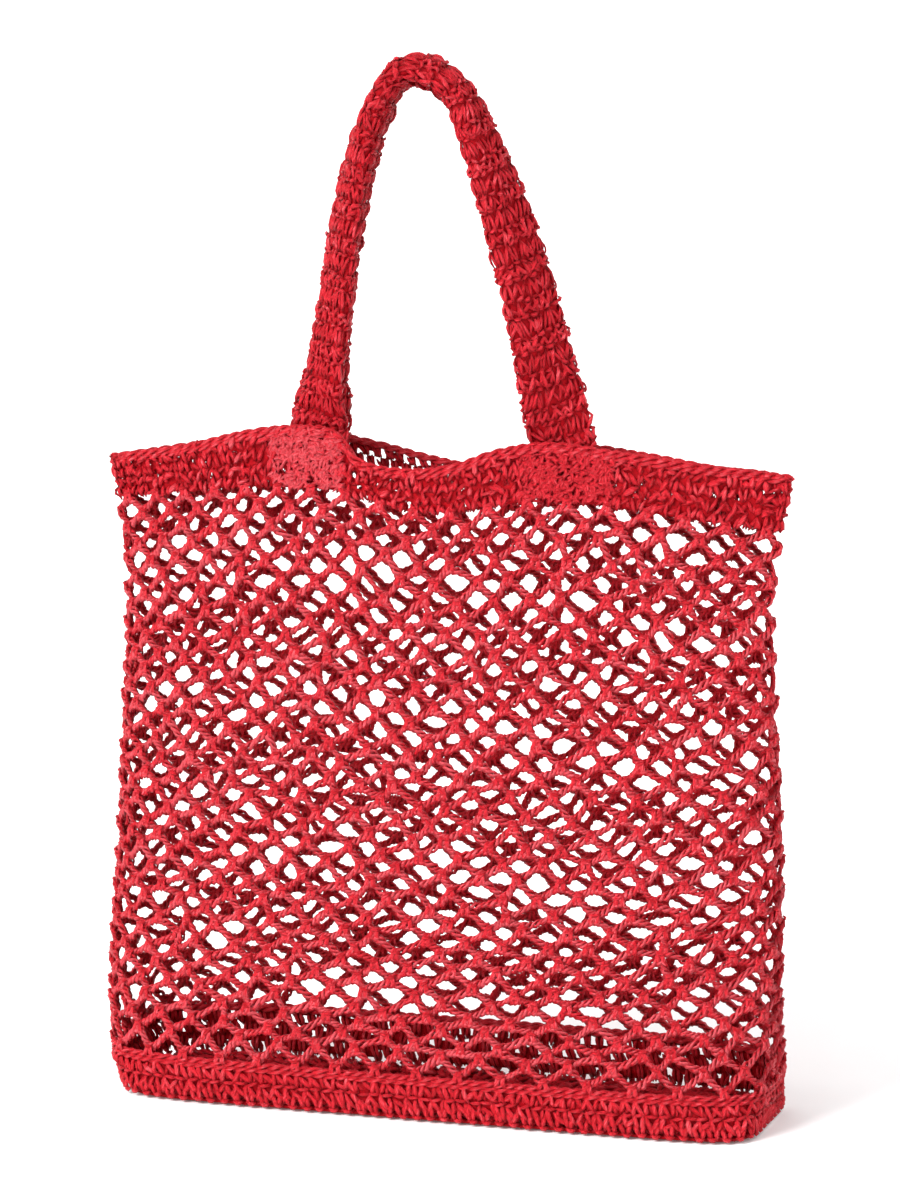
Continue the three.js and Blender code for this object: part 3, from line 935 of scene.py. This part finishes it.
def base_band():
    def edges(keeps):
        return dict(low=keeps[0], high=lambda s: band_top(s) - keeps[1], total=BAND_STITCHES)

    core = core_sheet(
        "base_band_core", BODY, rows=BAND_CORE_ROWS, out=-0.5 * BAND_WALL, thick=CORE_THICK,
        gaps=BAND_GAPS, **edges(BAND_CORE_KEEPS),
    )
    strands = Strands("base_band_stitches")
    for cloth in BAND_CLOTHS:
        fabric(strands, BODY, **edges(BAND_CLOTH_KEEPS), **cloth)
    for twist in BAND_ROPES:
        rope(strands, BODY, band_top, **twist)
    band_leaves(strands)
    return core, strands.make(STRAW)


# The panel's skin starts in from the outline and ends at the middle line. Its sheet and its stitches
# run nearly as far.
PANEL_STEP, PANEL_INSET, PANEL_REACH, PANEL_ROWS = 2.0, 2.5, 51, 5
PANEL_FROM, PANEL_CORE_TO, PANEL_STITCHES_TO = 0.5, 49.9, 49


def panel_surface():
    """The panel's mid level as a skin whose height runs from its edge to its middle line."""
    rings = []
    for inset in np.arange(0, PANEL_REACH, PANEL_STEP):
        ring = body_ring(0, inset + PANEL_INSET)
        ring[:, 2] = 0.5 * PANEL_THICK
        rings.append(ring)
    return Surface(np.stack(rings), PANEL_STEP)


def base_panel():
    skin = panel_surface()
    core = core_sheet(
        "base_panel_core", skin, PANEL_FROM, PANEL_CORE_TO, PANEL_STITCHES, PANEL_ROWS, out=-0.5,
        thick=1.6, gaps=(0.0, 0.0),
    )
    strands = Strands("base_panel_stitches")
    fabric(
        strands, skin, PANEL_ROWS, PANEL_FROM, PANEL_STITCHES_TO, PANEL_STITCHES, out=0.9, radius=1.6,
        wild=0.7,
    )
    return core, strands.make(STRAW)


# Handles: a strip folded double, worked in rows across it
def strap_rows(back):
    """The table of one handle. The back one's is made from the front one's."""
    if not back:
        return FRONT_STRAP
    foot = FRONT_STRAP[0]["z"]
    rise = max(row["z"] for row in FRONT_STRAP) - foot
    rows = []
    for row in FRONT_STRAP:
        up = min(max((row["z"] - BACK_LEAVES_RIM) / BACK_LEAN_HEIGHT, 0), 1)
        y = -row["y"] + BACK_STAND_OFF * up
        rows.append(dict(
            row,
            x=row["x"] - BACK_LEFTWARD * (y - row["y"]),
            y=y,
            z=row["z"] - BACK_DROP * (row["z"] - foot) / rise,
            turn=row["turn"] + (90 - row["turn"]) * BACK_TWIST * up * up,
        ))
    return rows


STRAP_STEP = 2.0
# Of a ring's points, the strap's skin keeps one in so many, and of those its sheet one in so many
STRAP_THINNED, STRAP_CORE_THINNED = 10, 5


def strap_surface(rows, forward, shrink):
    place = np.array([[row["x"], row["y"], row["z"]] for row in rows])
    reach = np.concatenate([[0], np.cumsum(np.linalg.norm(np.diff(place, axis=0), axis=1))])
    rows = [dict(row, reach=far) for row, far in zip(rows, reach)]
    at = np.arange(0, reach[-1], STRAP_STEP)
    read = {c: read_table(rows, "reach", at, c) for c in ("x", "y", "z", "width", "thick", "turn")}
    middle = np.stack([read["x"], read["y"], read["z"]], 1)
    tangent = unit(np.gradient(middle, axis=0))
    outwards = unit(np.cross([0.0, -1.0, 0.0], tangent))
    turn = np.radians(read["turn"])[:, None]
    face = np.array([0.0, forward, 0.0]) * np.cos(turn) + outwards * np.sin(turn)
    face = unit(face - tangent * (face * tangent).sum(1, keepdims=True))
    broad = np.cross(tangent, face)
    grid = []
    for k in range(len(at)):
        half_thick, half_width = 0.5 * read["thick"][k] - shrink, 0.5 * read["width"][k] - shrink
        ring = super_ellipse(half_thick, half_width, STRAP_SQUARENESS, STRAP_SQUARENESS, 0.0)
        ring = even_ring(ring)[::STRAP_THINNED]
        grid.append(middle[k] + ring[:, :1] * face[k] + ring[:, 1:] * broad[k])
    return Surface(np.stack(grid), STRAP_STEP), reach[-1]


# Stitches in a round of the strap, the height of two rows, and how far the skin lies inside the strap
# and the sheet inside the skin
STRAP_STITCHES, STRAP_PAIR_OF_ROWS, STRAP_SHRINK, STRAP_CORE_SHRINK = 15, 20.0, 1.5, 0.6
# The rows wave a little, and stop short of the strap's two ends
STRAP_ROW_WAVE, STRAP_WAVE_START = 1.8, 0.1
STRAP_FOOT, STRAP_END = 3.0, 4.5

# Small loops that stand out of the straps' outer edges, by leg and height: how far round the strap that
# edge is, their sizes and radius, how far out their middles stand and how tall they are for their size
PICOT_SHARE, PICOT_SIZES, PICOT_RADIUS, PICOT_OUT, PICOT_TALL = 0.75, (1.1, 1.5), 0.62, 0.7, 2.1
PICOT_TONES, PICOT_STEPS = (0.4, 1), LOOP_STEPS + 2
PICOTS = table(
    "leg z", (-1, 520), (-1, 476), (1, 554), (1, 527), (1, 513), (1, 474), (1, 454), (1, 428), (1, 398),
)


def picots(strands, skin):
    middle = skin.grid.mean(1)
    apex = int(np.argmax(middle[:, 2]))
    for picot in PICOTS:
        leg = slice(0, apex) if picot["leg"] < 0 else slice(apex, len(middle))
        row = int(np.argmin(np.abs(middle[leg, 2] - picot["z"]))) + leg.start
        point, normal, up, sideways = skin.at(np.array([PICOT_SHARE]), np.array([row * skin.step]))
        angle = np.arange(PICOT_STEPS) * 2 * math.pi / PICOT_STEPS
        size = RANDOM.uniform(*PICOT_SIZES)
        outwards, upwards = np.cos(angle)[:, None] + PICOT_OUT, PICOT_TALL * np.sin(angle)[:, None]
        ring = point + size * (outwards * normal + upwards * up)
        strands.add(ring[None], sideways, PICOT_RADIUS, RANDOM.uniform(*PICOT_TONES), closed=True)


def handle(name, back):
    strap, forward = strap_rows(back), 1.0 if back else -1.0
    skin, length = strap_surface(strap, forward, STRAP_SHRINK)
    strip, _ = strap_surface(strap, forward, 0.0)
    rows = 2 * round(length / STRAP_PAIR_OF_ROWS)
    strands = Strands(name + "_stitches")

    def row_edge(height):
        return lambda s: height + STRAP_ROW_WAVE * np.sin(2 * math.pi * (s + STRAP_WAVE_START))

    fabric(
        strands, skin, rows, row_edge(STRAP_FOOT), row_edge(length - STRAP_END), STRAP_STITCHES,
        out=0.1, radius=1.08, kinds=("post", "tuft"), rise=0.9, wild=1.2,
    )
    picots(strands, skin)
    stitches = strands.make(STRAW)
    kept = slice(None, None, STRAP_CORE_THINNED)
    core_grid = skin.grid[:, kept] - skin.normals[:, kept] * STRAP_CORE_SHRINK
    rings, columns = core_grid.shape[:2]
    index = np.arange(rings * columns).reshape(rings, columns)
    low, high = index[:-1], index[1:]
    walls = np.stack([low, np.roll(low, -1, 1), np.roll(high, -1, 1), high], -1).reshape(-1, 4)
    half = columns // 2
    caps = []
    for i in range(half - 1):
        a, b, c, d = i, i + 1, columns - 2 - i, columns - 1 - i
        caps.append([index[0, a], index[0, d], index[0, c], index[0, b]])
        caps.append([index[-1, a], index[-1, b], index[-1, c], index[-1, d]])
    faces = np.concatenate([walls, np.array(caps)])
    # The strap's inner sheet is painted dark as shade, seen between the stitches
    core = mesh_piece(name + "_core", core_grid.reshape(-1, 3) * MM, faces, SHADED_CORE_STRAW)
    return core, stitches, (float(strip.girths.mean()), length)


# Colours of the sheets inside the bands and handles: painted shade for the shadowed gaps between stitches
SHADOW_RED = (0.21, 0.0002, 0.003, 1.0)
CORE_SHADE_RED = (0.36, 0.0005, 0.005, 1.0)
# The straw's colours by tone, from dark to light; the palest is a painted highlight, reached by crease crests and the
# highest tones
DEEP_RED = (0.54, 0.0008, 0.008, 1.0)
LIGHT_RED = (0.86, 0.02, 0.038, 1.0)
HIGHLIGHT_PAINTED_RED = (0.91, 0.1, 0.125, 1.0)
# How fast the creases wind round a strand and change along it, for each millimetre
CREASE_TWIST, CREASE_CHANGE = 0.42, 0.11


def node(tree, kind, operation=None, **values):
    made = tree.nodes.new("ShaderNode" + kind)
    if operation:
        made.operation = operation
    for socket, value in values.items():
        made.inputs[socket.replace("_", " ")].default_value = value
    return made


def new_material(name, **values):
    """A material whose shader has these values, its nodes and the shader's inputs."""
    material = bpy.data.materials.new(name)
    material.use_nodes = True
    shader = material.node_tree.nodes["Principled BSDF"].inputs
    for socket, value in values.items():
        shader[socket.replace("_", " ")].default_value = value
    return material, material.node_tree, shader


def straw_material():
    """Twisted paper straw: creases wind round each strand, and strands differ a little in colour. Its colour also
    holds painted shade from the tone attribute, and painted highlights on the crease crests.
    """
    material, tree, shader = new_material(
        "straw", Roughness=0.4, Specular_IOR_Level=0.22, Sheen_Weight=0.02,
        Sheen_Tint=(1.0, 0.35, 0.35, 1.0),
    )
    link = tree.links.new
    fibre = node(tree, "Attribute")
    fibre.attribute_name = "fibre"
    tone = node(tree, "Attribute")
    tone.attribute_name = "tone"
    parts = node(tree, "SeparateXYZ")
    link(fibre.outputs["Vector"], parts.inputs["Vector"])
    around = node(tree, "Math", "ARCTAN2")
    link(parts.outputs["Y"], around.inputs[0])
    link(parts.outputs["X"], around.inputs[1])
    twist = node(tree, "Math", "MULTIPLY")
    twist.inputs[1].default_value = CREASE_TWIST
    link(parts.outputs["Z"], twist.inputs[0])
    angle = node(tree, "Math", "ADD")
    link(around.outputs[0], angle.inputs[0])
    link(twist.outputs[0], angle.inputs[1])
    place = node(tree, "CombineXYZ")
    for operation, socket in (("COSINE", "X"), ("SINE", "Y")):
        wave = node(tree, "Math", operation)
        link(angle.outputs[0], wave.inputs[0])
        link(wave.outputs[0], place.inputs[socket])
    slow = node(tree, "Math", "MULTIPLY")
    slow.inputs[1].default_value = CREASE_CHANGE
    link(parts.outputs["Z"], slow.inputs[0])
    link(slow.outputs[0], place.inputs["Z"])
    streak = node(tree, "TexNoise", Scale=1.9, Detail=3.0, Roughness=0.6)
    link(place.outputs["Vector"], streak.inputs["Vector"])
    crease = node(tree, "MapRange", From_Min=0.36, From_Max=0.62)
    link(streak.outputs["Fac"], crease.inputs["Value"])
    # Colour mixes the tone attribute, a random tone with painted shade in it, with the creases: the straw's own
    # streaks, with their crests painted pale as highlights and their hollows darker as painted shade
    blend = node(tree, "Mix", Factor=0.5)
    link(tone.outputs["Fac"], blend.inputs["A"])
    link(crease.outputs["Result"], blend.inputs["B"])
    ramp = node(tree, "ValToRGB")
    ramp.color_ramp.elements[0].color = DEEP_RED
    ramp.color_ramp.elements[1].position = 0.72
    ramp.color_ramp.elements[1].color = LIGHT_RED
    top = ramp.color_ramp.elements.new(1.0)
    top.color = HIGHLIGHT_PAINTED_RED
    link(blend.outputs["Result"], ramp.inputs["Fac"])
    link(ramp.outputs["Color"], shader["Base Color"])
    bump = node(tree, "Bump", Strength=1.0, Distance=0.001)
    link(crease.outputs["Result"], bump.inputs["Height"])
    link(bump.outputs["Normal"], shader["Normal"])
    return material


def core_material():
    """The straw inside the dense bands and the handles, in mottled deep red: painted shade, dark for the shadowed gaps
    between the stitches.
    """
    material, tree, shader = new_material("straw_within_shade", Roughness=0.7, Specular_IOR_Level=0.1)
    place = node(tree, "TexCoord")
    mottle = node(tree, "TexNoise", Scale=420.0, Detail=2.0, Roughness=0.6)
    tree.links.new(place.outputs["Object"], mottle.inputs["Vector"])
    ramp = node(tree, "ValToRGB")
    ramp.color_ramp.elements[0].position = 0.35
    ramp.color_ramp.elements[0].color = SHADOW_RED
    ramp.color_ramp.elements[1].position = 0.65
    ramp.color_ramp.elements[1].color = CORE_SHADE_RED
    tree.links.new(mottle.outputs["Fac"], ramp.inputs["Fac"])
    tree.links.new(ramp.outputs["Color"], shader["Base Color"])
    bump = node(tree, "Bump", Strength=1.0, Distance=0.001)
    tree.links.new(mottle.outputs["Fac"], bump.inputs["Height"])
    tree.links.new(bump.outputs["Normal"], shader["Normal"])
    return material


# Light from the sky by how high it stands: white down to the horizon, dimmer above
SKY_LOW, SKY_HIGH = 1.5, 1.05
SUN_POWER = 3.5
SUN_FROM = (-0.7, -1.0, 0.9)
SUN_SOFTNESS = math.radians(28)
FLOOR_HALF = 7.0


def floor_and_lights():
    mesh = bpy.data.meshes.new("floor")
    corners = [(x * FLOOR_HALF, y * FLOOR_HALF, 0) for x, y in ((-1, -1), (1, -1), (1, 1), (-1, 1))]
    mesh.from_pydata(corners, [], [(0, 1, 2, 3)])
    floor = bpy.data.objects.new("floor", mesh)
    bpy.context.scene.collection.objects.link(floor)
    material, _, _ = new_material(
        "floor", Base_Color=(0.92, 0.92, 0.92, 1.0), Roughness=1.0, Specular_IOR_Level=0.0,
        Emission_Color=(1.0, 1.0, 1.0, 1.0), Emission_Strength=0.05,
    )
    mesh.materials.append(material)
    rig.stage(floor)

    world = bpy.data.worlds.new("studio")
    bpy.context.scene.world = world
    world.use_nodes = True
    tree = world.node_tree
    way, parts = node(tree, "TexCoord"), node(tree, "SeparateXYZ")
    fade = node(tree, "MapRange", From_Min=0.12, From_Max=0.35, To_Min=SKY_LOW, To_Max=SKY_HIGH)
    sky = tree.nodes["Background"].inputs
    tree.links.new(way.outputs["Generated"], parts.inputs["Vector"])
    tree.links.new(parts.outputs["Z"], fade.inputs["Value"])
    tree.links.new(fade.outputs["Result"], sky["Strength"])
    sky["Color"].default_value = (1.0, 1.0, 1.0, 1.0)

    data = bpy.data.lights.new("key", "SUN")
    data.energy = SUN_POWER
    data.angle = SUN_SOFTNESS
    light = bpy.data.objects.new("key", data)
    light.rotation_euler = (-Vector(SUN_FROM)).to_track_quat("-Z", "Y").to_euler()
    bpy.context.scene.collection.objects.link(light)
    bpy.context.scene.view_settings.view_transform = "Standard"


STRAW = straw_material()
SHADED_CORE_STRAW = core_material()
floor_and_lights()

net_pieces = net()
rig.replaces(net_pieces[0], "net_body")
rim_core, rim_stitches, rim_top = rim()
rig.replaces(rim_core, "rim_band")
band_core, band_stitches = base_band()
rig.replaces(band_core, "base_band")
panel_core, panel_stitches = base_panel()
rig.replaces(panel_core, "base_panel")
front_core, front_stitches, front_size = handle("handle_front", False)
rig.replaces(front_core, "handle_front")
back_core, back_stitches, back_size = handle("handle_back", True)
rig.replaces(back_core, "handle_back")


RIM_HEIGHT = 28
# The share of its width times its length that each piece's fabric covers
RIM_COVER, BAND_COVER, PANEL_COVER = 0.8, 0.85, 0.96


def declare_sheets():
    """Each worked piece opened out flat, its size read from the body or the strap. Openwork covers
    less than its width times its length, by the share given."""
    def opened(z, height, cover=1.0):
        flat = (MM * float(BODY.girth(z)), MM * height)
        return dict(flat=flat, area=cover * flat[0] * flat[1])

    for piece, (_, first, last) in zip(net_pieces, NET_TIERS):
        low, high = (BAND_TOP + (NET_TOP - BAND_TOP) * r / ROUNDS for r in (first, last))
        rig.sheet(
            piece, held="hung", rests_on=[rim_core], with_pieces=net_pieces[3:] if first == 0 else [],
            **opened(0.5 * (low + high), high - low + ARCH_RISE),
        )
    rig.sheet(
        rim_core, held="hung", rests_on=[front_core, back_core], with_pieces=[rim_stitches, rim_top],
        **opened(RIM_MIDDLE, RIM_HEIGHT, RIM_COVER),
    )
    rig.sheet(
        band_core, held="folded", rests_on=[panel_core], with_pieces=[band_stitches],
        **opened(0.5 * BAND_TOP, BAND_TOP + 0.5 * BACK_ROUND - PANEL_THICK, BAND_COVER),
    )
    floor_row = SECTIONS[0]
    length, width = 2 * MM * floor_row["half_width"], 2 * MM * floor_row["half_depth"]
    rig.sheet(
        panel_core, flat=(width, length), held="laid", with_pieces=[panel_stitches],
        area=PANEL_COVER * width * length,
    )
    for stitches, core, size in (
        (front_stitches, front_core, front_size), (back_stitches, back_core, back_size),
    ):
        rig.sheet(
            stitches, flat=(MM * size[0], MM * size[1]), held="folded", rests_on=[rim_core],
            with_pieces=[core],
        )


declare_sheets()


def plain(box):
    return [[float(value) for value in corner] for corner in box]


with open("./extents.json", "w") as out:
    json.dump({"cad": plain(cad_box), "shown": plain(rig.bounds())}, out)
